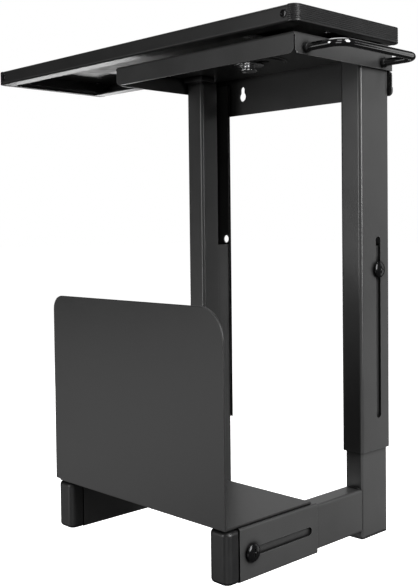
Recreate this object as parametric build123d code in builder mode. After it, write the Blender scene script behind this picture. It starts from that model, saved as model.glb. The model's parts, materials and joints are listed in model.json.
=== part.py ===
from build123d import *
import os

# Under-desk computer holder. A desk-mounted track carries a sliding carriage. A hanger turns
# under the carriage on a shoulder bolt. Two telescopic posts hang from it and end in an L-shaped
# tray that widens on two sleeved arms.
#
# Frame: the origin is the middle of the track's top face, where it meets the desk.
# +X points from the tray's side panel to the posts, -Y points to the user, +Z is up. Millimetres.

os.makedirs("parts", exist_ok=True)

# --- Track ---
TRACK_LENGTH = 430
TRACK_WIDTH = 138
TRACK_HEIGHT = 14
TRACK_SHEET = 1.8
TRACK_LIP = 15
TRACK_BEND = 2.4
CAP_LENGTH = 8
CAP_TONGUE = 8
CAP_CORNER = 7
CAP_SCREW_FROM_END = 12
DESK_HOLE_X = 30
DESK_HOLE_Y = 165
DESK_HOLE_R = 2.75
STOP_X = 47
STOP_Y = 192

# --- Carriage ---
RUN_GAP = 0.1
PLATE_SHEET = 2.5
PLATE_WIDTH = 128
PLATE_TOP = -7.3
PLATE_REAR = 91
PLATE_FRONT = -136
GLIDE_INNER_X = 22
BUTTON_R = 8
BUTTON_X = 45
BUTTON_STEM_R = 3
BUTTON_FROM_END = 9

# --- Hanger ---
PAN_LENGTH = 223
PAN_WIDTH = 128
PAN_CENTRE_Y = -98
PAN_TOP = -20
PAN_SHEET = 2
PAN_DEPTH = 17
PAN_BEND = 2.6
RELIEF_SLIT = 1.2
RELIEF_RADIUS = 4
BACK_DEPTH = 38
BACK_CORNER = 4
DISH_R = 34
DISH_DEPTH = 2
KEYHOLE_PITCH = 140
KEYHOLE_DROP = 20
KEYHOLE_R = 4.6
KEYHOLE_SLOT_R = 3
KEYHOLE_RISE = 7
LOCK_HOLE_R = 5
LOCK_HOLE_OFFSET = 18.5

# --- Swivel ---
SHOULDER_R = 5
SHOULDER_GAP = 0.08
THREAD_R = 4
SPACER_R = 21
SPACER_THICK = 3.8
BEARING_R = 29
WASHER_R = 13.5
WASHER_THICK = 1.5
BOLT_HEAD_R = 7.8
BOLT_HEAD_THICK = 3.4
BOLT_HEAD_DROP = 3.9
SWIVEL_NUT_AF = 13
SWIVEL_NUT_THICK = 4

# --- Handle ---
HANDLE_X = 50
HANDLE_REACH = 35
HANDLE_ROD_R = 3.25
HANDLE_BEND = 12
HANDLE_DROP = 11.3
COLLAR_R = 4.2
COLLAR_THICK = 3.5

# --- Posts ---
POST_X = 40
POST_Y = 22
POST_SHEET = 1.8
POST_CORNER = 3
POST_PITCH = 195
POST_BOTTOM = -363.5
POST_LIP = 20
TOP_PLATE_THICK = 5
TOP_PLATE_PROUD = 5
TOP_PLATE_REACH = 14
INNER_X = 36
INNER_Y = 17.8
INNER_SHEET = 1.6
INNER_CORNER = 2.2
INNER_TOP = -187.7
INNER_BOTTOM = -438.4
PLUG_HEAD = 2
PLUG_TONGUE = 12
HEIGHT_SCREW_Z = -208
HEIGHT_SCREW_OFFSET = 3.5
HEIGHT_UP = 25
HEIGHT_DOWN = 125
POST_HOLE_Z = -182
POST_HOLE_OFFSET = 3.5
POST_HOLE_R = 3.9

# --- Arms, sleeves and tray ---
ARM_Z = 36.6
ARM_CENTRE_Z = -413.4
ARM_END_X = -121
SLEEVE_Y = 21.8
SLEEVE_Z = 40.8
SLEEVE_SHEET = 1.8
SLEEVE_CORNER = 2
SLEEVE_X = (-125.2, -37.2)
WIDTH_SCREW_X = -112.5
WIDTH_TRAVEL = 65
SLOT_R = 3.4
TRAY_SHEET = 2
TRAY_OUTER_X = -138.2
TRAY_INNER_X = -42
TRAY_LENGTH = 216
PANEL_TOP = -229
PANEL_FRONT_R = 25
PANEL_REAR_R = 12
TRAY_BEND = 4
TRAY_NOTCH_Y = 6
TRAY_NOTCH_Z = 1.2
SLEEVE_CAP_CORNER = 6
SLEEVE_CAP_INSET = 0.5
SLEEVE_CAP_GAP = 1.3
SLEEVE_CAP_TONGUE = 3
SLEEVE_CAP_ROUND = 3

# --- Fasteners ---
SCREW_R = 3
SCREW_HEAD_R = 7
SCREW_HEAD_THICK = 3.6
SCREW_GRIP = 11
NUT_AF = 10
NUT_THICK = 4.6

# --- Worked-out positions ---
channel_end = TRACK_LENGTH / 2 - CAP_LENGTH
web_under = -TRACK_SHEET
lip_top = -TRACK_HEIGHT + TRACK_SHEET
plate_under = PLATE_TOP - PLATE_SHEET
plate_mid_y = (PLATE_FRONT + PLATE_REAR) / 2
pan_front = PAN_CENTRE_Y - PAN_LENGTH / 2
pan_rear = PAN_CENTRE_Y + PAN_LENGTH / 2
pan_under = PAN_TOP - PAN_SHEET
pan_bottom = PAN_TOP - PAN_DEPTH
dish_under = pan_under - DISH_DEPTH
handle_z = PAN_TOP - HANDLE_DROP
spacer_under = plate_under - SPACER_THICK
bearing_under = PAN_TOP - DISH_DEPTH + RUN_GAP / 2
washer_top = dish_under - RUN_GAP / 2
back_inner_x = PAN_WIDTH / 2 - PAN_SHEET
post_mid_x = back_inner_x - POST_X / 2
height_screw_x = post_mid_x + HEIGHT_SCREW_OFFSET
post_top = pan_under - TOP_PLATE_THICK
sleeve_top = ARM_CENTRE_Z + SLEEVE_Z / 2
tray_top = sleeve_top + TRAY_SHEET
slot_top_z = HEIGHT_SCREW_Z + HEIGHT_UP
slot_bottom_z = HEIGHT_SCREW_Z - HEIGHT_DOWN
FRONT, REAR = -1, 1


def post_y(side):
    """The middle of the front or rear post, along Y."""
    return PAN_CENTRE_Y + side * POST_PITCH / 2


def outward(side, x, y, z):
    """A plane at a point, facing out of the front or rear of the holder."""
    return Plane(origin=(x, y, z), x_dir=(1, 0, 0), z_dir=(0, side, 0))


def save(part, name):
    """Label a finished sub-part and write it to its own file."""
    part.label = name
    export_step(part, f"parts/{name}.step")


# ---------------------------------------------------------------- track

def track_channel():
    with BuildPart() as channel:
        with BuildSketch(Plane.XZ) as section:
            with Locations((0, -TRACK_HEIGHT / 2)):
                RectangleRounded(TRACK_WIDTH, TRACK_HEIGHT, TRACK_BEND)
                RectangleRounded(TRACK_WIDTH - 2 * TRACK_SHEET, TRACK_HEIGHT - 2 * TRACK_SHEET,
                                 TRACK_BEND - TRACK_SHEET, mode=Mode.SUBTRACT)
            with Locations((0, -TRACK_HEIGHT)):
                Rectangle(TRACK_WIDTH - 2 * TRACK_LIP, 3 * TRACK_SHEET, mode=Mode.SUBTRACT)
        extrude(amount=channel_end, both=True)
        with BuildSketch(Plane.XY) as desk_holes:
            with GridLocations(2 * DESK_HOLE_X, 2 * DESK_HOLE_Y, 2, 2):
                Circle(DESK_HOLE_R)
            with GridLocations(2 * STOP_X, 2 * STOP_Y, 2, 2):
                Circle(THREAD_R / 2)
        extrude(amount=-TRACK_SHEET, mode=Mode.SUBTRACT)
        cap_screw_y = TRACK_LENGTH / 2 - CAP_SCREW_FROM_END
        with BuildSketch(Plane.YZ) as cap_screw_holes:
            with Locations((-cap_screw_y, -TRACK_HEIGHT / 2), (cap_screw_y, -TRACK_HEIGHT / 2)):
                Circle(THREAD_R / 2)
        extrude(amount=TRACK_WIDTH, both=True, mode=Mode.SUBTRACT)
    return channel.part


def end_cap(side):
    face_y = side * TRACK_LENGTH / 2
    tongue_x = TRACK_WIDTH - 2 * TRACK_SHEET - 2 * RUN_GAP
    tongue_z = TRACK_HEIGHT - 2 * TRACK_SHEET - 2 * RUN_GAP
    with BuildPart() as cap:
        with BuildSketch(Plane.XY.offset(-TRACK_HEIGHT)) as outline:
            with Locations((0, face_y - side * CAP_LENGTH / 2)):
                Rectangle(TRACK_WIDTH, CAP_LENGTH)
            fillet(outline.vertices().group_by(Axis.Y)[0 if side < 0 else -1], CAP_CORNER)
        extrude(amount=TRACK_HEIGHT)
        with BuildSketch(outward(-side, 0, side * channel_end, -TRACK_HEIGHT / 2)) as tongue:
            RectangleRounded(tongue_x, tongue_z, TRACK_BEND - TRACK_SHEET)
            Rectangle(tongue_x - 2 * THREAD_R - 4, tongue_z - 4, mode=Mode.SUBTRACT)
        extrude(amount=CAP_TONGUE)
        cap_screw_y = side * (TRACK_LENGTH / 2 - CAP_SCREW_FROM_END)
        with BuildSketch(Plane.YZ) as pilot_holes:
            with Locations((cap_screw_y, -TRACK_HEIGHT / 2)):
                Circle(THREAD_R / 2)
        extrude(amount=TRACK_WIDTH, both=True, mode=Mode.SUBTRACT)
    return cap.part


def end_cap_screws():
    """Four low-headed screws that pin the caps through the channel's sides."""
    cap_screw_y = TRACK_LENGTH / 2 - CAP_SCREW_FROM_END
    with BuildPart() as screws:
        for side_x in (-1, 1):
            for side_y in (FRONT, REAR):
                seat = Plane(origin=(side_x * TRACK_WIDTH / 2, side_y * cap_screw_y, -TRACK_HEIGHT / 2),
                             x_dir=(0, 1, 0), z_dir=(side_x, 0, 0))
                with BuildSketch(seat) as head:
                    Circle(THREAD_R / 2 + 1.2)
                extrude(amount=0.9)
                with BuildSketch(seat) as shank:
                    Circle(THREAD_R / 2)
                extrude(amount=-5)
    return screws.part


def stop_screws():
    """Screws near both ends of the track, whose heads stop the carriage's upper buttons."""
    with BuildPart() as screws:
        with BuildSketch(Plane.XY.offset(web_under)) as heads:
            with GridLocations(2 * STOP_X, 2 * STOP_Y, 2, 2):
                Circle(THREAD_R)
        extrude(amount=-2.2)
        fillet(screws.edges().group_by(Axis.Z)[0], 1)
        with BuildSketch(Plane.XY.offset(web_under)) as shanks:
            with GridLocations(2 * STOP_X, 2 * STOP_Y, 2, 2):
                Circle(THREAD_R / 2)
        extrude(amount=-web_under)
    return screws.part


# ---------------------------------------------------------------- carriage

def button_places():
    front_y = PLATE_FRONT + BUTTON_FROM_END
    rear_y = PLATE_REAR - BUTTON_FROM_END
    return [(x, y) for x in (-BUTTON_X, BUTTON_X) for y in (front_y, rear_y)]


def carriage_plate():
    with BuildPart() as plate:
        with BuildSketch(Plane.XY.offset(plate_under)) as outline:
            with Locations((0, plate_mid_y)):
                RectangleRounded(PLATE_WIDTH, PLATE_REAR - PLATE_FRONT, 4)
            with Locations((0, PAN_CENTRE_Y)):
                Circle(THREAD_R, mode=Mode.SUBTRACT)
            with Locations(*button_places()):
                Circle(BUTTON_STEM_R, mode=Mode.SUBTRACT)
        extrude(amount=PLATE_SHEET)
    return plate.part


def glide(side_x):
    """A nylon strip that slides on the track's lip and wraps the edge of the carriage plate."""
    edge_x = PLATE_WIDTH / 2
    rim_x = TRACK_WIDTH / 2 - TRACK_SHEET - 4 * RUN_GAP
    length = PLATE_REAR - PLATE_FRONT
    with BuildPart() as strip:
        with BuildSketch(Plane.XY.offset(lip_top + RUN_GAP)) as pad:
            with Locations((side_x * (GLIDE_INNER_X + edge_x) / 2, plate_mid_y)):
                Rectangle(edge_x - GLIDE_INNER_X, length)
        extrude(amount=plate_under - lip_top - RUN_GAP)
        with BuildSketch(Plane.XY.offset(lip_top + RUN_GAP)) as rim:
            with Locations((side_x * (edge_x + rim_x) / 2, plate_mid_y)):
                Rectangle(rim_x - edge_x, length)
        extrude(amount=PLATE_TOP - lip_top - RUN_GAP)
    return strip.part


def upper_glide_buttons():
    with BuildPart() as buttons:
        with BuildSketch(Plane.XY.offset(PLATE_TOP)) as heads:
            with Locations(*button_places()):
                Circle(BUTTON_R)
        extrude(amount=web_under - RUN_GAP - PLATE_TOP)
        with BuildSketch(Plane.XY.offset(plate_under)) as stems:
            with Locations(*button_places()):
                Circle(BUTTON_STEM_R)
        extrude(amount=PLATE_SHEET)
    return buttons.part


# ---------------------------------------------------------------- swivel

def ring(bottom_z, thickness, outer_r, hole_r):
    with BuildPart() as disc:
        with BuildSketch(Plane.XY.offset(bottom_z)) as outline:
            with Locations((0, PAN_CENTRE_Y)):
                Circle(outer_r)
                Circle(hole_r, mode=Mode.SUBTRACT)
        extrude(amount=thickness)
    return disc.part


def swivel_bolt():
    """Shoulder bolt: low head, shoulder through the hanger, thread through the carriage plate."""
    head_top = dish_under - BOLT_HEAD_DROP
    head_bottom = head_top - BOLT_HEAD_THICK
    with BuildPart() as bolt:
        with BuildSketch(Plane.XY.offset(head_bottom)) as head:
            with Locations((0, PAN_CENTRE_Y)):
                Circle(BOLT_HEAD_R)
        extrude(amount=BOLT_HEAD_THICK)
        fillet(bolt.edges().group_by(Axis.Z)[0], 1)
        with BuildSketch(Plane.XY.offset(head_top)) as shoulder:
            with Locations((0, PAN_CENTRE_Y)):
                Circle(SHOULDER_R)
        extrude(amount=spacer_under - head_top)
        with BuildSketch(Plane.XY.offset(spacer_under)) as thread:
            with Locations((0, PAN_CENTRE_Y)):
                Circle(THREAD_R)
        extrude(amount=PLATE_TOP + SWIVEL_NUT_THICK + 0.5 - spacer_under)
    return bolt.part


def swivel_nut():
    with BuildPart() as nut:
        with BuildSketch(Plane.XY.offset(PLATE_TOP)) as outline:
            with Locations((0, PAN_CENTRE_Y)):
                RegularPolygon(SWIVEL_NUT_AF / 2, 6, major_radius=False)
                Circle(THREAD_R, mode=Mode.SUBTRACT)
        extrude(amount=SWIVEL_NUT_THICK)
    return nut.part


# ---------------------------------------------------------------- hanger

def top_bracket():
    """Folded sheet: a flat top, three short flanges and a deeper back plate on the post side."""
    inner_x = PAN_WIDTH - 2 * PAN_SHEET
    inner_y = PAN_LENGTH - 2 * PAN_SHEET
    with BuildPart() as pan:
        with BuildSketch(Plane.XY.offset(pan_bottom)) as outline:
            with Locations((0, PAN_CENTRE_Y)):
                Rectangle(PAN_WIDTH, PAN_LENGTH)
        extrude(amount=PAN_DEPTH)
        fillet(pan.faces().sort_by(Axis.Z)[-1].edges(), PAN_BEND)
        with BuildSketch(Plane.XY.offset(pan_bottom)) as hollow:
            with Locations((0, PAN_CENTRE_Y)):
                Rectangle(inner_x, inner_y)
        extrude(amount=PAN_DEPTH - PAN_SHEET, mode=Mode.SUBTRACT)

        # The back plate hangs deeper than the other flanges, with rounded lower corners.
        with BuildSketch(Plane.YZ.offset(back_inner_x)) as back:
            with Locations((PAN_CENTRE_Y, (pan_bottom + PAN_TOP - BACK_DEPTH) / 2)):
                Rectangle(PAN_LENGTH, BACK_DEPTH - PAN_DEPTH)
            fillet(back.vertices().group_by(Axis.Z)[0], BACK_CORNER)
        extrude(amount=PAN_SHEET)

        # Corner slits, which flare where the lower corners of the two flanges are rounded.
        for side_x in (-1, 1):
            for side_y in (FRONT, REAR):
                corner = (side_x * PAN_WIDTH / 2, PAN_CENTRE_Y + side_y * PAN_LENGTH / 2, pan_bottom)
                diagonal = Plane(origin=corner, x_dir=(-side_y, side_x, 0), z_dir=(side_x, side_y, 0))
                with BuildSketch(diagonal) as slit:
                    Rectangle(RELIEF_SLIT, 2 * (PAN_DEPTH - PAN_BEND - 0.5))
                    if side_x < 0:
                        with Locations((0, 0)):
                            Rectangle(RELIEF_SLIT + 2 * RELIEF_RADIUS, 2 * RELIEF_RADIUS)
                        reach = RELIEF_RADIUS + RELIEF_SLIT / 2
                        with Locations((-reach, RELIEF_RADIUS), (reach, RELIEF_RADIUS)):
                            Circle(RELIEF_RADIUS, mode=Mode.SUBTRACT)
                extrude(amount=2 * PAN_BEND, both=True, mode=Mode.SUBTRACT)

        # A shallow dish, pressed down, holds the swivel bearing.
        with BuildSketch(Plane.XY.offset(pan_under)) as dish:
            with Locations((0, PAN_CENTRE_Y)):
                Circle(DISH_R)
        extrude(amount=-DISH_DEPTH, taper=45)
        with BuildSketch(Plane.XY.offset(PAN_TOP)) as dish_hollow:
            with Locations((0, PAN_CENTRE_Y)):
                Circle(DISH_R - PAN_SHEET / 2)
        extrude(amount=-DISH_DEPTH, taper=45, mode=Mode.SUBTRACT)
        with BuildSketch(Plane.XY) as swivel_holes:
            with Locations((0, PAN_CENTRE_Y)):
                Circle(SHOULDER_R + SHOULDER_GAP)
            with Locations((0, PAN_CENTRE_Y - LOCK_HOLE_OFFSET)):
                Circle(LOCK_HOLE_R)
        extrude(amount=pan_bottom, mode=Mode.SUBTRACT)

        # Keyholes in the back plate and holes for the handle.
        keyhole_z = PAN_TOP - KEYHOLE_DROP
        with BuildSketch(Plane.YZ.offset(PAN_WIDTH / 2)) as keyholes:
            for side_y in (FRONT, REAR):
                hole_y = PAN_CENTRE_Y + side_y * KEYHOLE_PITCH / 2
                with Locations((hole_y, keyhole_z)):
                    Circle(KEYHOLE_R)
                with Locations((hole_y, keyhole_z + KEYHOLE_RISE / 2)):
                    SlotCenterToCenter(KEYHOLE_RISE, 2 * KEYHOLE_SLOT_R, rotation=90)
        extrude(amount=-2 * PAN_SHEET, mode=Mode.SUBTRACT)
        with BuildSketch(outward(FRONT, 0, pan_front, 0)) as handle_holes:
            with Locations((-HANDLE_X, handle_z), (HANDLE_X, handle_z)):
                Circle(HANDLE_ROD_R)
        extrude(amount=-PAN_SHEET, mode=Mode.SUBTRACT)
    return pan.part


def pull_handle():
    root_y = pan_front + PAN_SHEET
    tip_y = pan_front - HANDLE_REACH
    with BuildPart() as rod:
        with BuildLine() as route:
            FilletPolyline((-HANDLE_X, root_y, handle_z), (-HANDLE_X, tip_y, handle_z),
                           (HANDLE_X, tip_y, handle_z), (HANDLE_X, root_y, handle_z),
                           radius=HANDLE_BEND)
        with BuildSketch(outward(FRONT, -HANDLE_X, root_y, handle_z)) as section:
            Circle(HANDLE_ROD_R)
        sweep(path=route.line)
    return rod.part


def handle_collars():
    with BuildPart() as collars:
        with BuildSketch(outward(FRONT, 0, pan_front, 0)) as outline:
            with Locations((-HANDLE_X, handle_z), (HANDLE_X, handle_z)):
                Circle(COLLAR_R)
                Circle(HANDLE_ROD_R, mode=Mode.SUBTRACT)
        extrude(amount=COLLAR_THICK)
    return collars.part


# ---------------------------------------------------------------- posts

def outer_post(side):
    """Folded channel whose lip covers the tray-side half of its inner face."""
    y = post_y(side)
    hollow_x = POST_X - 2 * POST_SHEET
    hollow_y = POST_Y - 2 * POST_SHEET
    mouth = POST_X - POST_SHEET - POST_LIP
    mouth_x = back_inner_x - POST_SHEET - mouth / 2
    face_y = y + side * POST_Y / 2
    with BuildPart() as post:
        with BuildSketch(Plane.XY.offset(POST_BOTTOM)) as section:
            with Locations((post_mid_x, y)):
                RectangleRounded(POST_X, POST_Y, POST_CORNER)
                RectangleRounded(hollow_x, hollow_y, POST_CORNER - POST_SHEET, mode=Mode.SUBTRACT)
            with Locations((mouth_x, y - side * POST_Y / 2)):
                Rectangle(mouth, 2 * POST_SHEET, mode=Mode.SUBTRACT)
        extrude(amount=post_top - POST_BOTTOM)
        slot_mid_z = (slot_top_z + slot_bottom_z) / 2
        with BuildSketch(outward(side, height_screw_x, face_y, slot_mid_z)) as slot:
            SlotCenterToCenter(slot_top_z - slot_bottom_z, 2 * SLOT_R, rotation=90)
        extrude(amount=-POST_SHEET, mode=Mode.SUBTRACT)
        if side == REAR:
            with BuildSketch(Plane.YZ.offset(back_inner_x)) as hole:
                with Locations((y - POST_HOLE_OFFSET, POST_HOLE_Z)):
                    Circle(POST_HOLE_R)
            extrude(amount=-POST_SHEET, mode=Mode.SUBTRACT)
    return post.part


def post_top_plates():
    """Weld plates on the tray side of the posts, up against the underside of the top bracket."""
    plate_x = TOP_PLATE_PROUD + TOP_PLATE_REACH
    plate_y = POST_Y + TOP_PLATE_PROUD
    mid_x = post_mid_x - POST_X / 2 - TOP_PLATE_PROUD + plate_x / 2
    with BuildPart() as plates:
        with BuildSketch(Plane.XY.offset(post_top)) as outline:
            for side in (FRONT, REAR):
                with Locations((mid_x, post_y(side) - side * TOP_PLATE_PROUD / 2)):
                    RectangleRounded(plate_x, plate_y, 2)
        extrude(amount=TOP_PLATE_THICK)
    return plates.part


def inner_post(side):
    y = post_y(side)
    with BuildPart() as post:
        with BuildSketch(Plane.XY.offset(INNER_BOTTOM + PLUG_HEAD)) as section:
            with Locations((post_mid_x, y)):
                RectangleRounded(INNER_X, INNER_Y, INNER_CORNER)
                RectangleRounded(INNER_X - 2 * INNER_SHEET, INNER_Y - 2 * INNER_SHEET,
                                 INNER_CORNER - INNER_SHEET, mode=Mode.SUBTRACT)
        extrude(amount=INNER_TOP - INNER_BOTTOM - PLUG_HEAD)
        with BuildSketch(outward(side, height_screw_x, y + side * INNER_Y / 2, HEIGHT_SCREW_Z)) as hole:
            Circle(SCREW_R)
        extrude(amount=-INNER_SHEET, mode=Mode.SUBTRACT)
    return post.part


def inner_arm(side):
    y = post_y(side)
    weld_x = post_mid_x - INNER_X / 2
    with BuildPart() as arm:
        with BuildSketch(Plane.YZ.offset(ARM_END_X)) as section:
            with Locations((y, ARM_CENTRE_Z)):
                RectangleRounded(INNER_Y, ARM_Z, INNER_CORNER)
                RectangleRounded(INNER_Y - 2 * INNER_SHEET, ARM_Z - 2 * INNER_SHEET,
                                 INNER_CORNER - INNER_SHEET, mode=Mode.SUBTRACT)
        extrude(amount=weld_x - ARM_END_X)
        with BuildSketch(outward(side, WIDTH_SCREW_X, y + side * INNER_Y / 2, ARM_CENTRE_Z)) as hole:
            Circle(SCREW_R)
        extrude(amount=-INNER_SHEET, mode=Mode.SUBTRACT)
    return arm.part


def post_plugs():
    with BuildPart() as plugs:
        places = [(post_mid_x, post_y(side)) for side in (FRONT, REAR)]
        with BuildSketch(Plane.XY.offset(INNER_BOTTOM)) as heads:
            with Locations(*places):
                RectangleRounded(INNER_X, INNER_Y, INNER_CORNER)
        extrude(amount=PLUG_HEAD)
        with BuildSketch(Plane.XY.offset(INNER_BOTTOM + PLUG_HEAD)) as tongues:
            with Locations(*places):
                Rectangle(INNER_X - 2 * INNER_SHEET - 2, INNER_Y - 2 * INNER_SHEET - 2)
        extrude(amount=PLUG_TONGUE)
    return plugs.part


# ---------------------------------------------------------------- locking screws

def locking_screws(x, z, face_offset):
    """Pan-head screws, front and rear, whose heads clamp a slotted face."""
    with BuildPart() as screws:
        for side in (FRONT, REAR):
            seat_y = post_y(side) + side * (face_offset + RUN_GAP)
            with BuildSketch(outward(side, x, seat_y, z)) as head:
                Circle(SCREW_HEAD_R)
            extrude(amount=SCREW_HEAD_THICK)
            with BuildSketch(outward(side, x, seat_y, z)) as shank:
                Circle(SCREW_R)
            extrude(amount=-SCREW_GRIP)
        rims = screws.edges().filter_by(GeomType.CIRCLE).group_by(Axis.Y)
        fillet(rims[0] + rims[-1], 1.6)
    return screws.part


def locking_nuts(x, z):
    """Weld nuts inside the inner tubes, which take the locking screws."""
    with BuildPart() as nuts:
        for side in (FRONT, REAR):
            seat_y = post_y(side) + side * (INNER_Y / 2 - INNER_SHEET)
            with BuildSketch(outward(side, x, seat_y, z)) as outline:
                RegularPolygon(NUT_AF / 2, 6, major_radius=False)
                Circle(SCREW_R, mode=Mode.SUBTRACT)
            extrude(amount=-NUT_THICK)
    return nuts.part


# ---------------------------------------------------------------- tray

def tray():
    """One folded sheet: a floor on the sleeves and a side panel with rounded upper corners."""
    with BuildPart() as sheet:
        mid_y = PAN_CENTRE_Y + 2
        with BuildSketch(Plane.XZ.offset(-mid_y)) as fold:
            with BuildLine() as outer_line:
                Polyline((TRAY_OUTER_X, PANEL_TOP), (TRAY_OUTER_X, sleeve_top),
                         (TRAY_INNER_X, sleeve_top), (TRAY_INNER_X, tray_top),
                         (TRAY_OUTER_X + TRAY_SHEET, tray_top),
                         (TRAY_OUTER_X + TRAY_SHEET, PANEL_TOP), close=True)
            make_face()
            fillet(fold.vertices().filter_by(
                lambda v: abs(v.X - TRAY_OUTER_X) < 0.1 and abs(v.Z - sleeve_top) < 0.1), TRAY_BEND)
            fillet(fold.vertices().filter_by(
                lambda v: abs(v.X - TRAY_OUTER_X - TRAY_SHEET) < 0.1 and abs(v.Z - tray_top) < 0.1),
                TRAY_BEND - TRAY_SHEET)
        extrude(amount=TRAY_LENGTH / 2, both=True)
        corners = sheet.edges().filter_by(Axis.X).group_by(Axis.Z)[-1].sort_by(Axis.Y)
        fillet(corners[0], PANEL_FRONT_R)
        corners = sheet.edges().filter_by(Axis.X).group_by(Axis.Z)[-1].sort_by(Axis.Y)
        fillet(corners[-1], PANEL_REAR_R)
        with BuildSketch(Plane.YZ.offset(TRAY_OUTER_X)) as notch:
            with Locations((mid_y + TRAY_LENGTH / 2, sleeve_top)):
                Rectangle(2 * TRAY_NOTCH_Y, 2 * TRAY_NOTCH_Z)
        extrude(amount=2 * TRAY_SHEET + 1, mode=Mode.SUBTRACT)
    return sheet.part


def sleeve(side):
    y = post_y(side)
    left_x, right_x = SLEEVE_X
    with BuildPart() as tube:
        with BuildSketch(Plane.YZ.offset(left_x)) as section:
            with Locations((y, ARM_CENTRE_Z)):
                RectangleRounded(SLEEVE_Y, SLEEVE_Z, SLEEVE_CORNER)
                Rectangle(SLEEVE_Y - 2 * SLEEVE_SHEET, SLEEVE_Z - 2 * SLEEVE_SHEET,
                          mode=Mode.SUBTRACT)
        extrude(amount=right_x - left_x)
        slot_mid_x = WIDTH_SCREW_X + WIDTH_TRAVEL / 2
        with BuildSketch(outward(side, slot_mid_x, y + side * SLEEVE_Y / 2, ARM_CENTRE_Z)) as slot:
            SlotCenterToCenter(WIDTH_TRAVEL, 2 * SLOT_R)
        extrude(amount=-SLEEVE_SHEET, mode=Mode.SUBTRACT)
    return tube.part


def sleeve_cap(side):
    """Plastic plug for the outer end of a sleeve: a rounded nose, a shadow gap and a tongue."""
    y = post_y(side)
    sleeve_end = SLEEVE_X[0]
    nose_end = sleeve_end - SLEEVE_CAP_GAP
    with BuildPart() as cap:
        with BuildSketch(Plane.XY.offset(ARM_CENTRE_Z - SLEEVE_Z / 2)) as outline:
            with Locations(((nose_end + TRAY_OUTER_X) / 2, y)):
                Rectangle(nose_end - TRAY_OUTER_X, SLEEVE_Y - 2 * SLEEVE_CAP_INSET)
            fillet(outline.vertices().group_by(Axis.X)[0], SLEEVE_CAP_CORNER)
        extrude(amount=SLEEVE_Z - 1)
        rims = cap.edges().filter_by(Axis.Z, reverse=True).filter_by(
            lambda rim: rim.center().X < nose_end - 0.1).group_by(Axis.Z)
        fillet(rims[0] + rims[-1], SLEEVE_CAP_ROUND)
        with BuildSketch(Plane.YZ.offset(nose_end)) as tongue:
            with Locations((y, ARM_CENTRE_Z)):
                Rectangle(SLEEVE_Y - 2 * SLEEVE_SHEET, SLEEVE_Z - 2 * SLEEVE_SHEET)
        extrude(amount=SLEEVE_CAP_GAP + SLEEVE_CAP_TONGUE)
    return cap.part


save(track_channel(), "track_channel")
save(end_cap(FRONT), "front_end_cap")
save(end_cap(REAR), "rear_end_cap")
save(end_cap_screws(), "end_cap_screws")
save(stop_screws(), "stop_screws")

save(carriage_plate(), "carriage_plate")
save(glide(-1), "left_glide_strip")
save(glide(1), "right_glide_strip")
save(upper_glide_buttons(), "upper_glide_buttons")
save(ring(spacer_under, SPACER_THICK, SPACER_R, THREAD_R), "swivel_spacer")
save(ring(bearing_under, spacer_under - bearing_under, BEARING_R, SHOULDER_R), "swivel_bearing")
save(ring(washer_top - WASHER_THICK, WASHER_THICK, WASHER_R, SHOULDER_R), "swivel_washer")
save(swivel_bolt(), "swivel_bolt")
save(swivel_nut(), "swivel_nut")

save(top_bracket(), "top_bracket")
save(pull_handle(), "pull_handle")
save(handle_collars(), "handle_collars")
save(outer_post(FRONT), "front_outer_post")
save(outer_post(REAR), "rear_outer_post")
save(post_top_plates(), "post_top_plates")

save(inner_post(FRONT), "front_inner_post")
save(inner_post(REAR), "rear_inner_post")
save(inner_arm(FRONT), "front_inner_arm")
save(inner_arm(REAR), "rear_inner_arm")
save(post_plugs(), "post_plugs")
save(locking_screws(height_screw_x, HEIGHT_SCREW_Z, POST_Y / 2), "height_screws")
save(locking_nuts(height_screw_x, HEIGHT_SCREW_Z), "height_nuts")
save(locking_screws(WIDTH_SCREW_X, ARM_CENTRE_Z, SLEEVE_Y / 2), "width_screws")
save(locking_nuts(WIDTH_SCREW_X, ARM_CENTRE_Z), "width_nuts")

save(tray(), "tray")
save(sleeve(FRONT), "front_sleeve")
save(sleeve(REAR), "rear_sleeve")
save(sleeve_cap(FRONT), "front_sleeve_cap")
save(sleeve_cap(REAR), "rear_sleeve_cap")
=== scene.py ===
import json
import math

import bmesh
import bpy
from mathutils import Matrix, Vector

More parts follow.
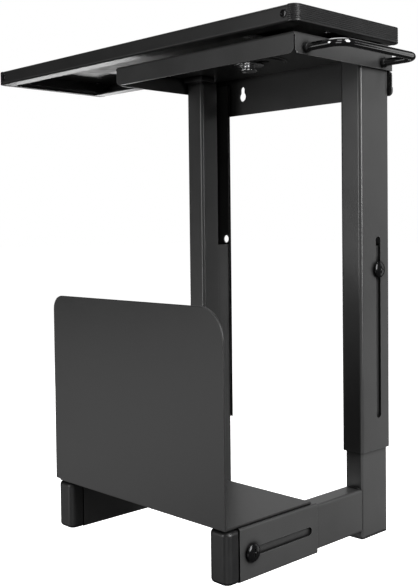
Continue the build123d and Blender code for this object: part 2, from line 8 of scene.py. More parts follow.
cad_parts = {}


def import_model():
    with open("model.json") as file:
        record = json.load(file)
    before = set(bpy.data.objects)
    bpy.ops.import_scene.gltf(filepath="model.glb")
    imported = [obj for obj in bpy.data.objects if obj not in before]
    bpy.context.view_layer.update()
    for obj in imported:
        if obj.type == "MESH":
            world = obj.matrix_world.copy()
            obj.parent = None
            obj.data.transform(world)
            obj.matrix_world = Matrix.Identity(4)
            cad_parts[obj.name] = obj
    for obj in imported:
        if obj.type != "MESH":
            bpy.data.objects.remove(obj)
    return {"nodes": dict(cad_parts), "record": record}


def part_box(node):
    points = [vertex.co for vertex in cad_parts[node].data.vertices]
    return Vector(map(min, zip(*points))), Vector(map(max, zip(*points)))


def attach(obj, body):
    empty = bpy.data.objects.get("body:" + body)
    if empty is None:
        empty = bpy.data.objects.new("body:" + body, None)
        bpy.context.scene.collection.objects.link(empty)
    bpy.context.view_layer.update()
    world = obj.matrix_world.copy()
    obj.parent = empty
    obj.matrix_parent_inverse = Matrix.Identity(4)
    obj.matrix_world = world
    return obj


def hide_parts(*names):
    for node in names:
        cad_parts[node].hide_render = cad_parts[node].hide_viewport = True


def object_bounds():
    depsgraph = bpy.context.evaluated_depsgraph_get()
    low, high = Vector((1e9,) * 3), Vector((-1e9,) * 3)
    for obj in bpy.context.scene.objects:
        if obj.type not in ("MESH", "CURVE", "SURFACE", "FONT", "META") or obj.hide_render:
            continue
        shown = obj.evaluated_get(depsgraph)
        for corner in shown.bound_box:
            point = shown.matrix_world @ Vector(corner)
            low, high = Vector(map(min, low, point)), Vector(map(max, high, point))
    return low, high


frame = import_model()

MM = 0.001
CAD_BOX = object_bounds()
NODES = frame["nodes"]
BODY_OF = {node: body for body, members in frame["record"]["behaviour"]["bodies"].items()
           for node in members}
SLOT_OF = {part["node"]: part["material_slot"] for part in frame["record"]["subparts"]}

# Camera: its place in metres, where it looks in degrees, and its lens and sensor in millimetres.
CAMERA_PLACE = (-0.6025, -0.6863, -0.1721)
CAMERA_YAW = 45.204
CAMERA_PITCH = -1.926
CAMERA_ROLL = -0.576
CAMERA_LENS = 57.07
CAMERA_SHIFT = (-0.058, -0.056)
SENSOR = 36.0

# How far the floor is below the holder, its side and the camera's far limit, in metres, and
# the strength of the even fill.
FLOOR_DROP = 0.35
FLOOR_SIZE = 60.0
FAR_CLIP = 200.0
SKY_FILL = 0.03

# Soft boxes: azimuth clockwise from +Y and elevation in degrees, distance and sides in metres,
# power in watts. Each one points at the middle of the holder.
LIGHTS = {
    "right_strip": (114, 12, 3.0, 0.8, 1.8, 3.0),
    "right_low": (120, -12, 3.0, 1.0, 0.9, 3.2),
    "front_box": (178, 21, 3.0, 1.1, 2.4, 125),
    "front_high": (154, 58, 3.0, 0.7, 0.7, 10),
    "front_low": (232, -22, 3.0, 1.6, 1.2, 9),
    "right_front": (125, 12, 3.0, 0.6, 1.2, 2.6),
    "camera_box": (225, 35, 3.0, 1.2, 1.2, 8.2),
    "overhead_box": (41, 72, 3.0, 2.0, 2.0, 45),
    "left_strip": (287, 8, 3.0, 0.8, 2.2, 46),
    "left_low": (-45, -14, 3.0, 1.6, 1.0, 4.9),
    "back_high": (45, 30, 3.5, 3.0, 1.6, 11),
    "back_low": (45, 3, 3.5, 3.0, 1.0, 4.4),
    "back_under": (33.5, -5.5, 3.0, 0.5, 0.35, 2.8),
}

# The grey of each copy of the powder coat: the tray's darker grey is painted shade, and the rim's pale grey
# is a painted highlight.
COAT_GREY = {"black": 0.034, "paler": 0.043, "deep": 0.018, "tray": 0.020, "rim_highlight": 0.26}

# Sizes of the details, in millimetres. STEPS and COUNT are numbers of points and ribs, and a
# thread's depth is a share of its pitch.
SHEET_EDGE = 0.7
TUBE_EDGE = 0.4
SMALL_PART_EDGE = 0.4
CAP_EDGE = 0.15
FASTENER_EDGE = 0.12
# How far the painted highlight along edges and bends reaches.
EDGE_HIGHLIGHT_REACH = 0.9
# How far the painted shade in slots and corners reaches.
CREVICE_SHADE_REACH = 5.0
WELD_BEAD = 1.1
WELD_PITCH = 1.3
ARM_WELD_INSET = 3
POST_WELD_INSET = 4
HANDLE_BEND = 12
HANDLE_BEND_STEPS = 24
HANDLE_STRAIGHT = 6
DISH_R = 34
DISH_DEPTH = 2.05
RIM_R = 0.8
CAP_CORNER = 7
CAP_CORNER_STEPS = 8
CAP_RIM = 1.1
CAP_WALL = 2.0
RIB_COUNT = 9
RIB_DEPTH = 0.35
THREAD_DEPTH = 0.45

# Fasteners, in millimetres.
LOCKING_SCREW = {"head_r": 7, "head_thick": 3.6, "shank_r": 3, "length": 10.6, "pitch": 1.0}
END_CAP_SCREW = {"head_r": 3.2, "head_thick": 0.9, "shank_r": 2, "length": 4.6, "pitch": 1.2}
STOP_SCREW = {"head_r": 4.0, "head_thick": 2.2, "shank_r": 2, "length": 1.4, "pitch": 1.2}
LOCKING_NUT = {"across_flats": 10, "bore": 3.0, "thick": 4.6}
SWIVEL_NUT_FLATS = 13
SWIVEL_HEAD = 2.6
SWIVEL_SHOULDER_R = 5.0
SWIVEL_THREAD_R = 4
SWIVEL_PITCH = 1.25


# ------------------------------------------------------------------ materials

class Shader:
    """A material's node tree, with short calls for the nodes that the finishes share."""

    def __init__(self, name):
        self.material = bpy.data.materials.new(name)
        self.material.use_nodes = True
        self.tree = self.material.node_tree
        self.bsdf = self.tree.nodes["Principled BSDF"]
        self.place = self.add("ShaderNodeTexCoord").outputs["Object"]

    def add(self, kind, **settings):
        node = self.tree.nodes.new(kind)
        for key, value in settings.items():
            setattr(node, key, value)
        return node

    def link(self, source, target):
        self.tree.links.new(source, target)

    def noise(self, scale, detail=3.0, roughness=0.55, stretch=(1, 1, 1)):
        mapping = self.add("ShaderNodeMapping")
        mapping.inputs["Scale"].default_value = stretch
        self.link(self.place, mapping.inputs["Vector"])
        texture = self.add("ShaderNodeTexNoise")
        texture.inputs["Scale"].default_value = scale
        texture.inputs["Detail"].default_value = detail
        texture.inputs["Roughness"].default_value = roughness
        self.link(mapping.outputs["Vector"], texture.inputs["Vector"])
        return texture.outputs["Fac"]

    def ramp(self, value, low, high, low_out=0.0, high_out=1.0):
        ranged = self.add("ShaderNodeMapRange")
        ranged.inputs["From Min"].default_value = low
        ranged.inputs["From Max"].default_value = high
        ranged.inputs["To Min"].default_value = low_out
        ranged.inputs["To Max"].default_value = high_out
        self.link(value, ranged.inputs["Value"])
        return ranged.outputs["Result"]

    def edges(self):
        """1 along edges and bends, where a painted highlight lightens the colour, broken up by noise, and 0
        on the flats.
        """
        rounded = self.add("ShaderNodeBevel", samples=6)
        rounded.inputs["Radius"].default_value = EDGE_HIGHLIGHT_REACH * MM
        likeness = self.add("ShaderNodeVectorMath", operation="DOT_PRODUCT")
        self.link(rounded.outputs["Normal"], likeness.inputs[0])
        self.link(self.add("ShaderNodeNewGeometry").outputs["Normal"], likeness.inputs[1])
        edge_highlight = self.ramp(likeness.outputs["Value"], 0.97, 0.80)
        broken = self.ramp(self.noise(160, detail=4), 0.35, 0.65, 0.35, 1.0)
        both = self.add("ShaderNodeMath", operation="MULTIPLY")
        self.link(edge_highlight, both.inputs[0])
        self.link(broken, both.inputs[1])
        return both.outputs["Value"]

    def openness(self):
        """0 deep in slots and corners, where painted shade darkens the coat, and 1 in the open."""
        shade = self.add("ShaderNodeAmbientOcclusion", samples=8)
        shade.inputs["Distance"].default_value = CREVICE_SHADE_REACH * MM
        return self.ramp(shade.outputs["AO"], 0.68, 0.97)

    def mix(self, amount, first, second):
        """Blends two colours; each is three numbers or another socket."""
        mix = self.add("ShaderNodeMix", data_type="RGBA")
        self.link(amount, mix.inputs["Factor"])
        for name, colour in (("A", first), ("B", second)):
            if isinstance(colour, tuple):
                mix.inputs[name].default_value = (*colour, 1)
            else:
                self.link(colour, mix.inputs[name])
        return mix.outputs["Result"]

    def colour(self, source):
        self.link(source, self.bsdf.inputs["Base Color"])

    def roughness(self, source):
        self.link(source, self.bsdf.inputs["Roughness"])

    def bump(self, height, depth, strength=1.0):
        node = self.add("ShaderNodeBump")
        node.inputs["Distance"].default_value = depth
        node.inputs["Strength"].default_value = strength
        self.link(height, node.inputs["Height"])
        self.link(node.outputs["Normal"], self.bsdf.inputs["Normal"])


def powder_coat(name):
    """Satin black powder coat: fine orange peel, slow changes of gloss, a painted highlight lightening the
    edges and painted shade in slots and corners.
    """
    grey = COAT_GREY[name]
    shader = Shader(f"powder_coat_{name}")
    cloud = shader.noise(26, detail=3)
    deep, light, highlight_grey = grey * 0.8, grey * 1.2, grey * 3.2
    flats = shader.mix(cloud, (deep,) * 3, (light,) * 3)
    # Painted highlight: edges and bends take over three times the coat's grey.
    coat = shader.mix(shader.edges(), flats, (highlight_grey,) * 3)
    # Painted shade: deep in slots and corners the coat darkens to a tenth of its grey.
    shader.colour(shader.mix(shader.openness(), (grey * 0.1,) * 3, coat))
    shader.roughness(shader.ramp(cloud, 0.0, 1.0, 0.28, 0.36))
    shader.bump(shader.noise(1500, detail=2), 0.00006, 0.45)
    return shader.material


def moulded_plastic():
    """Black moulded plastic with a fine spark-eroded grain."""
    shader = Shader("moulded_plastic_black")
    cloud = shader.noise(60, detail=2)
    flats = shader.mix(shader.ramp(cloud, 0.35, 0.65), (0.0045, 0.0045, 0.0048), (0.0065, 0.0065, 0.0068))
    # Painted highlight: a lighter grey along the edges.
    shader.colour(shader.mix(shader.edges(), flats, (0.020, 0.020, 0.021)))
    shader.roughness(shader.ramp(cloud, 0.3, 0.7, 0.40, 0.48))
    shader.bump(shader.noise(2400, detail=3), 0.00004, 0.5)
    return shader.material


def gloss_enamel():
    """Thick glossy black enamel on the handle, with a slight flow in its surface."""
    shader = Shader("gloss_enamel_black")
    wave = shader.noise(180, detail=1)
    flow = shader.ramp(wave, 0.3, 0.7)
    shader.colour(shader.mix(flow, (0.0035, 0.0035, 0.0037), (0.0050, 0.0050, 0.0052)))
    shader.bsdf.inputs["IOR"].default_value = 2.1
    shader.roughness(shader.ramp(wave, 0.3, 0.7, 0.07, 0.12))
    shader.bump(wave, 0.00005, 0.4)
    return shader.material


def black_oxide():
    shader = Shader("black_oxide_steel")
    grain = shader.noise(900, detail=3)
    flats = shader.mix(shader.ramp(grain, 0.35, 0.65), (0.010, 0.010, 0.0105), (0.015, 0.015, 0.0155))
    # Painted highlight: a lighter grey along the edges.
    shader.colour(shader.mix(shader.edges(), flats, (0.06, 0.06, 0.06)))
    shader.bsdf.inputs["Metallic"].default_value = 0.6
    shader.roughness(shader.ramp(grain, 0.3, 0.7, 0.12, 0.18))
    shader.bump(grain, 0.00003, 0.5)
    return shader.material


def bright_zinc():
    shader = Shader("bright_zinc_plate")
    grain = shader.noise(500, detail=3)
    shader.colour(shader.mix(shader.ramp(grain, 0.3, 0.7), (0.80, 0.80, 0.81), (0.86, 0.86, 0.865)))
    shader.bsdf.inputs["Metallic"].default_value = 1.0
    shader.roughness(shader.ramp(grain, 0.3, 0.7, 0.17, 0.22))
    shader.bump(grain, 0.00002, 0.5)
    return shader.material


def dull_steel():
    shader = Shader("dark_zinc_steel")
    streaks = shader.noise(120, detail=4, stretch=(1, 0.05, 1))
    flats = shader.mix(shader.ramp(streaks, 0.3, 0.7), (0.20, 0.20, 0.205), (0.30, 0.30, 0.305))
    # Painted highlight: a lighter grey along the edges.
    shader.colour(shader.mix(shader.edges(), flats, (0.45, 0.45, 0.45)))
    shader.bsdf.inputs["Metallic"].default_value = 1.0
    shader.roughness(shader.ramp(streaks, 0.3, 0.7, 0.34, 0.48))
    shader.bump(streaks, 0.00004, 0.5)
    return shader.material


def nylon():
    shader = Shader("nylon_light_grey")
    cloud = shader.noise(90, detail=3)
    shader.colour(shader.mix(shader.ramp(cloud, 0.3, 0.7), (0.17, 0.17, 0.168), (0.21, 0.21, 0.208)))
    shader.roughness(shader.ramp(cloud, 0.3, 0.7, 0.38, 0.5))
    shader.bump(shader.noise(1800, detail=2), 0.00003, 0.5)
    return shader.material


def acetal():
    shader = Shader("acetal_black")
    cloud = shader.noise(150, detail=2)
    shader.colour(shader.mix(shader.ramp(cloud, 0.3, 0.7), (0.012, 0.012, 0.012), (0.017, 0.017, 0.017)))
    shader.roughness(shader.ramp(cloud, 0.3, 0.7, 0.30, 0.40))
    shader.bump(shader.noise(1600, detail=1), 0.00002, 0.5)
    return shader.material


FINISH = {
    "powder_coat": powder_coat("black"),
    "cap_plastic": moulded_plastic(),
    "gloss_rod": gloss_enamel(),
    "black_screw": black_oxide(),
    "zinc": bright_zinc(),
    "nylon": nylon(),
    "bearing_plastic": acetal(),
    "raw_steel": dull_steel(),
}

# Some pieces take a darker or paler grey of the bracket's coat, and the upper buttons are black, not grey
# like the glide strips.
PALER_COAT = powder_coat("paler")
PART_FINISH = {
    "track_channel": powder_coat("deep"),
    # Painted shade: the tray takes a darker grey than the bracket.
    "tray": powder_coat("tray"),
    "upper_glide_buttons": FINISH["bearing_plastic"],
}
# A pale copy of the coat, for the painted highlight on the dish's rim.
RIM_HIGHLIGHT_COAT = powder_coat("rim_highlight")
for paler_node in ("front_sleeve", "rear_sleeve", "front_inner_arm", "rear_inner_arm",
                  "front_inner_post", "rear_inner_post"):
    PART_FINISH[paler_node] = PALER_COAT


def finish_of(node):
    return PART_FINISH.get(node, FINISH[SLOT_OF[node]])


for node, obj in NODES.items():
    obj.data.materials.clear()
    obj.data.materials.append(finish_of(node))


# ------------------------------------------------------------------ making pieces

def as_object(name, mesh):
    """Turns a bmesh into a smooth-shaded object in the scene."""
    bmesh.ops.recalc_face_normals(mesh, faces=mesh.faces)
    data = bpy.data.meshes.new(name)
    mesh.to_mesh(data)
    mesh.free()
    data.shade_smooth()
    obj = bpy.data.objects.new(name, data)
    bpy.context.scene.collection.objects.link(obj)
    return obj


def round_over(obj, width):
    """Rounds the sharp edges, and keeps the flats flat under smooth shading."""
    bevel = obj.modifiers.new("round_over", "BEVEL")
    bevel.width = width * MM
    bevel.segments = 2
    bevel.limit_method = "ANGLE"
    bevel.angle_limit = math.radians(35)
    bevel.miter_outer = "MITER_ARC"
    bevel.harden_normals = True
    normals = obj.modifiers.new("even_normals", "WEIGHTED_NORMAL")
    normals.keep_sharp = True


def place(obj, like, stands_for=()):
    """Gives a piece the finish and body of a CAD node, and hides the nodes it stands for."""
    obj.data.materials.clear()
    obj.data.materials.append(finish_of(like))
    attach(obj, BODY_OF[like])
    if stands_for:
        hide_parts(*stands_for)


def soften(node, width):
    """Replaces a CAD node with a copy whose sharp edges are rounded."""
    mesh = bmesh.new()
    mesh.from_mesh(NODES[node].data)
    bmesh.ops.remove_doubles(mesh, verts=mesh.verts, dist=0.002 * MM)
    bmesh.ops.dissolve_limit(mesh, angle_limit=math.radians(1), verts=mesh.verts, edges=mesh.edges)
    obj = as_object(f"{node}_finished", mesh)
    round_over(obj, width)
    place(obj, node, [node])


def stand_in(node, mesh, edge=0.0):
    """Replaces a CAD node with a piece built from scratch."""
    obj = as_object(f"{node}_finished", mesh)
    if edge:
        round_over(obj, edge)
    place(obj, node, [node])


def facing(point, direction):
    """A placement whose +Z points along a direction."""
    return Matrix.Translation(point) @ Vector(direction).to_track_quat("Z", "Y").to_matrix().to_4x4()


def skin(mesh, rings, looped=False):
    """Joins equal rings of points, in order, and closes the two ends unless the rings loop."""
    rows = [[mesh.verts.new(point) for point in ring] for ring in rings]
    pairs = list(zip(rows, rows[1:]))
    if looped:
        pairs.append((rows[-1], rows[0]))
    count = len(rows[0])
    for lower, upper in pairs:
        for i in range(count):
            j = (i + 1) % count
            mesh.faces.new((lower[i], lower[j], upper[j], upper[i]))
    if not looped:
        mesh.faces.new(rows[0][::-1])
        mesh.faces.new(rows[-1])


def circle(at, radius, z, steps):
    """Points round the placement's Z axis, at a height; sizes in mm."""
    angles = [2 * math.pi * i / steps for i in range(steps)]
    return [at @ Vector((radius * math.cos(a) * MM, radius * math.sin(a) * MM, z * MM)) for a in angles]


def turned(mesh, at, profile, looped=False, steps=48):
    """A turned shape about the placement's Z axis; the profile is (radius, height) in mm."""
    skin(mesh, [circle(at, r, z, steps) for r, z in profile], looped)


def eased(points, radius, looped=False, steps=3):
    """The same outline with its corners rounded by short arcs."""
    result = []
    count = len(points)
    for i, corner in enumerate(points):
        if not looped and i in (0, count - 1):
            result.append(corner)
            continue
        here = Vector(corner)
        before, after = (Vector(points[i - 1]) - here, Vector(points[(i + 1) % count]) - here)
        cut = min(radius, before.length / 2, after.length / 2)
        start, end = here + before.normalized() * cut, here + after.normalized() * cut
        for k in range(steps + 1):
            t = k / steps
            result.append(tuple(start * (1 - t) ** 2 + here * 2 * t * (1 - t) + end * t ** 2))
    return result


def ring_profile(outer, inner, bottom, top, edge):
    return eased([(inner, bottom), (outer, bottom), (outer, top), (inner, top)], edge, looped=True)


def thread_rings(at, radius, start, end, pitch, steps=24, rows_per_turn=6):
    """Rings of a screw thread from one height to another, as a ridge that winds round the shank."""
    count = int(abs(end - start) / pitch * rows_per_turn)
    rings = []
    for row in range(count + 1):
        z = start + (end - start) * row / count
        fade = min(1.0, row / rows_per_turn, (count - row) / rows_per_turn)
        ring = []
        for i in range(steps):
            wave = abs(2 * ((z / pitch - i / steps) % 1.0) - 1)
            r = radius - THREAD_DEPTH * pitch * wave * fade
            angle = 2 * math.pi * i / steps
            ring.append(at @ Vector((r * math.cos(angle) * MM, r * math.sin(angle) * MM, z * MM)))
        rings.append(ring)
    return rings


def cross_recess(mesh, top, size):
    """The cutter for a cross recess: a plus-shaped taper that narrows with depth."""
    rings = []
    for depth, reach, width in ((-0.35, 1.05, 0.36), (0.35, 0.72, 0.27), (0.62, 0.24, 0.20)):
        a, b = reach * size, width * size / 2
        corners = [(a, -b), (a, b), (b, b), (b, a), (-b, a), (-b, b),
                   (-a, b), (-a, -b), (-b, -b), (-b, -a), (b, -a), (b, -b)]
        z = top - depth * size
        rings.append([Vector((x, y, z)) * MM for x, y in corners])
    skin(mesh, rings)


def carved_head(head_r, head_thick):
    """A pan head with its cross recess cut, standing on the origin with +Z out of the head."""
    mesh = bmesh.new()
    dome = [(head_r * math.cos(math.radians(d)), head_thick * (0.42 + 0.58 * math.sin(math.radians(d))))
            for d in (0, 12, 25, 38, 52, 66, 80)]
    turned(mesh, Matrix.Identity(4), eased([(0.5, 0), (head_r * 0.97, 0), *dome], 0.25))
    head = as_object("pan_head", mesh)
    cutter = bmesh.new()
    cross_recess(cutter, head_thick, head_r * 0.55)
    tool = as_object("recess_cutter", cutter)
    cut = head.modifiers.new("recess", "BOOLEAN")
    cut.object = tool
    cut.solver = "EXACT"
    carved = bpy.data.meshes.new_from_object(
        head.evaluated_get(bpy.context.evaluated_depsgraph_get()))
    bpy.data.objects.remove(head)
    bpy.data.objects.remove(tool)
    return carved


def screws(node, places, head_r, head_thick, shank_r, length, pitch):
    """Pan-head screws with a cross recess and a thread, in one piece. Z points out of the head."""
    head = carved_head(head_r, head_thick)
    mesh = bmesh.new()
    for at in places:
        before = len(mesh.verts)
        mesh.from_mesh(head)
        mesh.verts.ensure_lookup_table()
        bmesh.ops.transform(mesh, matrix=at, verts=mesh.verts[before:])
        tip = circle(at, shank_r * 0.6, -length - 0.4, 24)
        skin(mesh, thread_rings(at, shank_r, 0.1, -length, pitch) + [tip])
    stand_in(node, mesh, FASTENER_EDGE)


def hex_nuts(node, places, across_flats, bore, thick):
    """Chamfered hexagon nuts; Z points from the seat to the far face."""
    mesh = bmesh.new()
    steps = 72
    chamfer = 0.13 * across_flats
    for at in places:
        heights = [(0, 0), (0.35, 0.3), (1, 0.75)]
        levels = ([(chamfer * z, grow) for z, grow in heights]
                  + [(thick - chamfer * z, grow) for z, grow in reversed(heights)])
        rings = []
        for z, grow in levels:
            limit = across_flats / 2 * (0.97 + 0.21 * grow)
            ring = []
            for i in range(steps):
                angle = 2 * math.pi * i / steps
                off_flat = (angle % (math.pi / 3)) - math.pi / 6
                r = min(across_flats / 2 / math.cos(off_flat), limit)
                ring.append(at @ Vector((r * math.cos(angle) * MM, r * math.sin(angle) * MM, z * MM)))
            rings.append(ring)
        rings += [circle(at, bore, thick, steps), circle(at, bore, 0, steps)]
        skin(mesh, rings, looped=True)
    stand_in(node, mesh, FASTENER_EDGE)


def bead(mesh, start, end):
    """A rippled weld bead between two points."""
    start, end = Vector(start), Vector(end)
    along = end - start
    at = facing(start, along)
    length = along.length / MM
    rows = max(8, int(length / WELD_PITCH * 6))
    rings = []
    for row in range(rows + 1):
        z = length * row / rows
        ripple = 0.88 + 0.12 * abs(math.sin(math.pi * z / WELD_PITCH))
        fade = math.sqrt(max(0.04, min(1.0, z / WELD_BEAD, (length - z) / WELD_BEAD)))
        rings.append(circle(at, WELD_BEAD * ripple * fade, z, 12))
    skin(mesh, rings)


# ------------------------------------------------------------------ parts that keep their CAD shape

for sheet_node in ("track_channel", "top_bracket", "tray", "post_top_plates", "carriage_plate"):
    soften(sheet_node, SHEET_EDGE)
for tube_node in ("front_outer_post", "rear_outer_post", "front_inner_post", "rear_inner_post",
                  "front_inner_arm", "rear_inner_arm", "front_sleeve", "rear_sleeve"):
    soften(tube_node, TUBE_EDGE)
for small_node in ("post_plugs", "front_sleeve_cap", "rear_sleeve_cap", "left_glide_strip",
                   "right_glide_strip", "upper_glide_buttons", "swivel_bearing", "swivel_spacer"):
    soften(small_node, SMALL_PART_EDGE)


# ------------------------------------------------------------------ track ends

def ribbed_cap(node, side_y):
    """A moulded end cap: fine ribs round its outer face and ends, and a tongue in the channel."""
    low, high = (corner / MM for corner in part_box(node))
    joint_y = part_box("track_channel")[0 if side_y < 0 else 1].y / MM
    face_y = low.y if side_y < 0 else high.y
    tongue_y = high.y if side_y < 0 else low.y
    half_x, height = high.x, high.z - low.z
    pitch = height / (RIB_COUNT + 0.5)
    rows = RIB_COUNT * 8
    mesh = bmesh.new()
    rings = []
    for row in range(rows + 1):
        z = height * row / rows
        edge = min(z, height - z)
        rim = CAP_RIM - math.sqrt(max(0, CAP_RIM ** 2 - max(0, CAP_RIM - edge) ** 2))
        groove = RIB_DEPTH * (0.5 - 0.5 * math.cos(2 * math.pi * z / pitch)) ** 2
        inset = rim + (groove if edge > CAP_RIM else 0)
        x, y = half_x - inset, face_y - side_y * inset
        radius = CAP_CORNER - inset
        points = [(x, joint_y)]
        for k in range(CAP_CORNER_STEPS + 1):
            turn = math.pi / 2 * k / CAP_CORNER_STEPS
            points.append((x - radius + radius * math.cos(turn),
                           y - side_y * (radius - radius * math.sin(turn))))
        points += [(-px, py) for px, py in reversed(points)]
        rings.append([Vector((px, py, low.z + z)) * MM for px, py in points])
    skin(mesh, rings)
    x, bottom, top = half_x - CAP_WALL, low.z + CAP_WALL, high.z - CAP_WALL
    tongue = [[Vector((px, y, pz)) * MM for px, pz in ((-x, bottom), (x, bottom), (x, top), (-x, top))]
              for y in (joint_y - side_y * 0.2, tongue_y)]
    skin(mesh, tongue)
    stand_in(node, mesh, CAP_EDGE)


ribbed_cap("front_end_cap", -1)
ribbed_cap("rear_end_cap", 1)


# ------------------------------------------------------------------ fasteners

def locking_screw_places(node):
    low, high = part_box(node)
    x, z = (low.x + high.x) / 2, (low.z + high.z) / 2
    thick = LOCKING_SCREW["head_thick"] * MM
    return [facing((x, low.y + thick, z), (0, -1, 0)), facing((x, high.y - thick, z), (0, 1, 0))]


def nut_places(node):
    """Nuts seat against the inside of the tube walls, so Z points inwards."""
    low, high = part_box(node)
    x, z = (low.x + high.x) / 2, (low.z + high.z) / 2
    return [facing((x, low.y, z), (0, 1, 0)), facing((x, high.y, z), (0, -1, 0))]


for screw_node in ("height_screws", "width_screws"):
    screws(screw_node, locking_screw_places(screw_node), **LOCKING_SCREW)
for nut_node in ("height_nuts", "width_nuts"):
    hex_nuts(nut_node, nut_places(nut_node), **LOCKING_NUT)


def four_corners(node, head_r):
    """Where four equal screws stand in their node's box: its low and high corners, columns, rows."""
    low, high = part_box(node)
    inset = head_r * MM
    return low, high, (low.x + inset, high.x - inset), (low.y + inset, high.y - inset)


def small_screws():
    low, high, _, rows = four_corners("end_cap_screws", END_CAP_SCREW["head_r"])
    thick = END_CAP_SCREW["head_thick"] * MM
    z = (low.z + high.z) / 2
    seats = [facing((x - math.copysign(thick, x), y, z), (x, 0, 0)) for x in (low.x, high.x) for y in rows]
    screws("end_cap_screws", seats, **END_CAP_SCREW)

    low, high, columns, rows = four_corners("stop_screws", STOP_SCREW["head_r"])
    z = low.z + STOP_SCREW["head_thick"] * MM
    seats = [facing((x, y, z), (0, 0, -1)) for x in columns for y in rows]
    screws("stop_screws", seats, **STOP_SCREW)


small_screws()


# ------------------------------------------------------------------ swivel

def swivel():
    """The shoulder bolt under the bracket, its wide washer, and its nut on the carriage plate."""
    low, high = (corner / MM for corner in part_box("swivel_bolt"))
    x, y = (low.x + high.x) / 2, (low.y + high.y) / 2
    at = Matrix.Translation((x * MM, y * MM, 0))
    head_r = (high.x - low.x) / 2
    head_top = low.z + SWIVEL_HEAD
    neck_r = SWIVEL_SHOULDER_R
    neck_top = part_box("swivel_spacer")[0].z / MM
    head = [(0.6, low.z + 0.25), (head_r * 0.72, low.z), (head_r - 0.3, low.z + 0.9),
            (head_r, head_top - 0.6), (head_r - 1.6, head_top), (neck_r, head_top)]
    shoulder = [(neck_r, head_top + 0.3), (neck_r, neck_top - 0.2), (neck_r - 0.4, neck_top)]
    mesh = bmesh.new()
    rings = [circle(at, r, z, 48) for r, z in eased(head, 0.5, steps=4) + shoulder]
    rings += thread_rings(at, SWIVEL_THREAD_R, neck_top + 0.1, high.z - 0.6, SWIVEL_PITCH, steps=48)
    rings.append(circle(at, SWIVEL_THREAD_R - 1, high.z, 48))
    skin(mesh, rings)
    stand_in("swivel_bolt", mesh)

    washer_low, washer_high = (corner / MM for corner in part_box("swivel_washer"))
    washer_r = (washer_high.x - washer_low.x) / 2
    ring = ring_profile(washer_r, neck_r + 0.05, washer_low.z, washer_high.z, 0.4)
    mesh = bmesh.new()
    turned(mesh, at, ring, looped=True, steps=72)
    stand_in("swivel_washer", mesh)

    nut_low, nut_high = (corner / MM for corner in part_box("swivel_nut"))
    seat = Matrix.Translation((x * MM, y * MM, nut_low.z * MM))
    hex_nuts("swivel_nut", [seat], across_flats=SWIVEL_NUT_FLATS, bore=SWIVEL_THREAD_R,
             thick=nut_high.z - nut_low.z)


swivel()


def dish_rim():
    """The pressed edge round the bracket's dish, painted pale as a highlight."""
    low, high = (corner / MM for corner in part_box("swivel_washer"))
    at = Matrix.Translation(((low.x + high.x) / 2 * MM, (low.y + high.y) / 2 * MM, 0))
    z = high.z + DISH_DEPTH
    section = [(DISH_R + RIM_R * math.cos(a), z + RIM_R * math.sin(a))
               for a in [2 * math.pi * i / 10 for i in range(10)]]
    mesh = bmesh.new()
    turned(mesh, at, section, looped=True, steps=96)
    obj = as_object("dish_rim", mesh)
    place(obj, "top_bracket")
    # Painted highlight: the rim's coat is far paler than the bracket's.
    obj.data.materials[0] = RIM_HIGHLIGHT_COAT


dish_rim()


# ------------------------------------------------------------------ handle

def handle():
    """The bent rod, and a collar where each end enters the bracket."""
    low, high = (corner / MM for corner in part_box("pull_handle"))
    rod = (high.z - low.z) / 2
    z = (high.z + low.z) / 2
    half_x, tip_y, root_y = high.x - rod, low.y + rod, high.y
    route = [(half_x, root_y), (half_x, root_y - HANDLE_STRAIGHT)]
    for k in range(HANDLE_BEND_STEPS + 1):
        turn = math.pi / 2 * k / HANDLE_BEND_STEPS
        route.append((half_x - HANDLE_BEND + HANDLE_BEND * math.cos(turn),
                      tip_y + HANDLE_BEND - HANDLE_BEND * math.sin(turn)))
    route += [(-x, y) for x, y in reversed(route)]
    rings = []
    count = len(route)
    upwards = Vector((0, 0, 1))
    for i, (x, y) in enumerate(route):
        before, after = Vector(route[max(0, i - 1)]), Vector(route[min(count - 1, i + 1)])
        along = (after - before).normalized()
        side = Vector((-along.y, along.x, 0))
        middle = Vector((x, y, z))
        angles = [2 * math.pi * k / 32 for k in range(32)]
        rings.append([(middle + (side * math.cos(a) + upwards * math.sin(a)) * rod) * MM for a in angles])
    mesh = bmesh.new()
    skin(mesh, rings)
    stand_in("pull_handle", mesh)

    low, high = (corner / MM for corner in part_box("handle_collars"))
    outer, thick = (high.z - low.z) / 2, high.y - low.y
    mesh = bmesh.new()
    for x in (low.x + outer, high.x - outer):
        at = facing(Vector((x, high.y, z)) * MM, (0, -1, 0))
        profile = eased([(rod + 0.02, 0), (outer, 0), (outer, thick * 0.7), (rod + 0.3, thick),
                         (rod + 0.02, thick)], 0.5, looped=True)
        turned(mesh, at, profile, looped=True)
    stand_in("handle_collars", mesh)


handle()


# ------------------------------------------------------------------ welds

def weld_piece(name, like, beads):
    """Beads in one piece, with the body and finish of the part that they are on."""
    mesh = bmesh.new()
    for start, end in beads:
        bead(mesh, start, end)
    obj = as_object(name, mesh)
    place(obj, like)


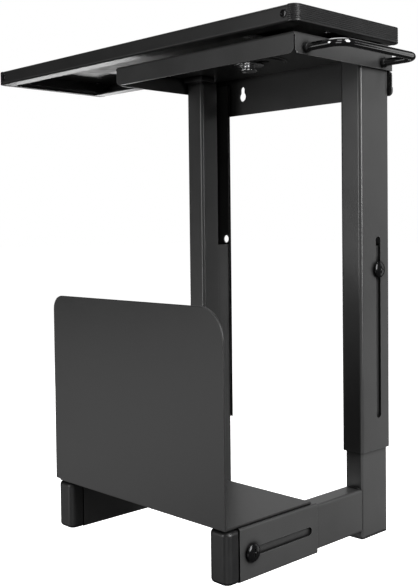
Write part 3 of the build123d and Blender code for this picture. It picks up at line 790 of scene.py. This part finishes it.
def welds():
    """Beads where the steel parts are welded: they have no CAD solid of their own."""
    for side in ("front", "rear"):
        arm_low, arm_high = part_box(f"{side}_inner_arm")
        inset = ARM_WELD_INSET * MM
        x = arm_high.x
        weld_piece(f"{side}_arm_weld", f"{side}_inner_arm",
                   [((x, arm_low.y + inset, arm_high.z), (x, arm_high.y - inset, arm_high.z)),
                    ((x, arm_low.y + inset, arm_low.z), (x, arm_high.y - inset, arm_low.z))])
        post_low, post_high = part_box(f"{side}_outer_post")
        inset = POST_WELD_INSET * MM
        y = post_low.y if side == "front" else post_high.y
        z = post_high.z
        weld_piece(f"{side}_post_weld", f"{side}_outer_post",
                   [((post_low.x, post_low.y + inset, z), (post_low.x, post_high.y - inset, z)),
                    ((post_low.x + inset, y, z), (post_high.x - inset, y, z))])
        sleeve_low, sleeve_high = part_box(f"{side}_sleeve")
        y = sleeve_high.y if side == "front" else sleeve_low.y
        span = sleeve_high.x - sleeve_low.x
        stitches = [(sleeve_low.x + span * f, sleeve_low.x + span * (f + 0.16)) for f in (0.12, 0.46, 0.76)]
        weld_piece(f"{side}_sleeve_weld", f"{side}_sleeve",
                   [((a, y, sleeve_high.z), (b, y, sleeve_high.z)) for a, b in stitches])


welds()


# ------------------------------------------------------------------ camera, lights and floor

def camera():
    yaw, pitch, roll = (math.radians(a) for a in (CAMERA_YAW, CAMERA_PITCH, CAMERA_ROLL))
    forward = Vector((math.sin(yaw) * math.cos(pitch), math.cos(yaw) * math.cos(pitch),
                      math.sin(pitch)))
    level = Vector((math.cos(yaw), -math.sin(yaw), 0))
    upright = level.cross(forward)
    right = level * math.cos(roll) + upright * math.sin(roll)
    up = upright * math.cos(roll) - level * math.sin(roll)
    data = bpy.data.cameras.new("studio_camera")
    data.sensor_width = SENSOR
    data.lens = CAMERA_LENS
    data.shift_x, data.shift_y = CAMERA_SHIFT
    data.clip_end = FAR_CLIP
    obj = bpy.data.objects.new("studio_camera", data)
    turn = Matrix((right, up, -forward)).transposed().to_4x4()
    obj.matrix_world = Matrix.Translation(CAMERA_PLACE) @ turn
    bpy.context.scene.collection.objects.link(obj)
    bpy.context.scene.camera = obj


def floor():
    """A white floor below the holder, which neither reflects in it nor shades it."""
    half = FLOOR_SIZE / 2
    mesh = bpy.data.meshes.new("studio_floor")
    z = CAD_BOX[0][2] - FLOOR_DROP
    mesh.from_pydata([(-half, -half, z), (half, -half, z), (half, half, z), (-half, half, z)],
                     [], [(0, 1, 2, 3)])
    obj = bpy.data.objects.new("studio_floor", mesh)
    shader = Shader("studio_floor_white")
    shader.colour(shader.mix(shader.noise(2, detail=2), (0.80, 0.80, 0.80), (0.82, 0.82, 0.82)))
    shader.bsdf.inputs["Roughness"].default_value = 0.8
    shader.bsdf.inputs["Emission Color"].default_value = (1, 1, 1, 1)
    shader.bsdf.inputs["Emission Strength"].default_value = 1.0
    obj.data.materials.append(shader.material)
    obj.visible_glossy = False
    obj.visible_diffuse = False
    obj.visible_shadow = False
    bpy.context.scene.collection.objects.link(obj)


def world():
    """White behind the holder, and a dim even fill for everything that the lights don't reach."""
    sky = bpy.data.worlds.new("studio_world")
    sky.use_nodes = True
    tree = sky.node_tree
    backdrop = tree.nodes["Background"]
    backdrop.inputs["Color"].default_value = (1, 1, 1, 1)
    backdrop.inputs["Strength"].default_value = 1.0
    fill = tree.nodes.new("ShaderNodeBackground")
    fill.inputs["Color"].default_value = (1, 1, 1, 1)
    fill.inputs["Strength"].default_value = SKY_FILL
    chooser = tree.nodes.new("ShaderNodeMixShader")
    tree.links.new(tree.nodes.new("ShaderNodeLightPath").outputs["Is Camera Ray"], chooser.inputs[0])
    tree.links.new(fill.outputs[0], chooser.inputs[1])
    tree.links.new(backdrop.outputs[0], chooser.inputs[2])
    tree.links.new(chooser.outputs[0], tree.nodes["World Output"].inputs["Surface"])
    bpy.context.scene.world = sky


def lights():
    low, high = (Vector(corner) for corner in CAD_BOX)
    middle = (low + high) / 2
    for name, (azimuth, elevation, distance, width, height, power) in LIGHTS.items():
        a, e = math.radians(azimuth), math.radians(elevation)
        outward = Vector((math.sin(a) * math.cos(e), math.cos(a) * math.cos(e), math.sin(e)))
        data = bpy.data.lights.new(name, "AREA")
        data.shape = "RECTANGLE"
        data.size, data.size_y = width, height
        data.energy = power
        obj = bpy.data.objects.new(name, data)
        obj.matrix_world = (Matrix.Translation(middle + outward * distance)
                            @ outward.to_track_quat("Z", "Y").to_matrix().to_4x4())
        obj.visible_camera = False
        bpy.context.scene.collection.objects.link(obj)


camera()
lights()
floor()
world()
bpy.context.scene.view_settings.view_transform = "Standard"
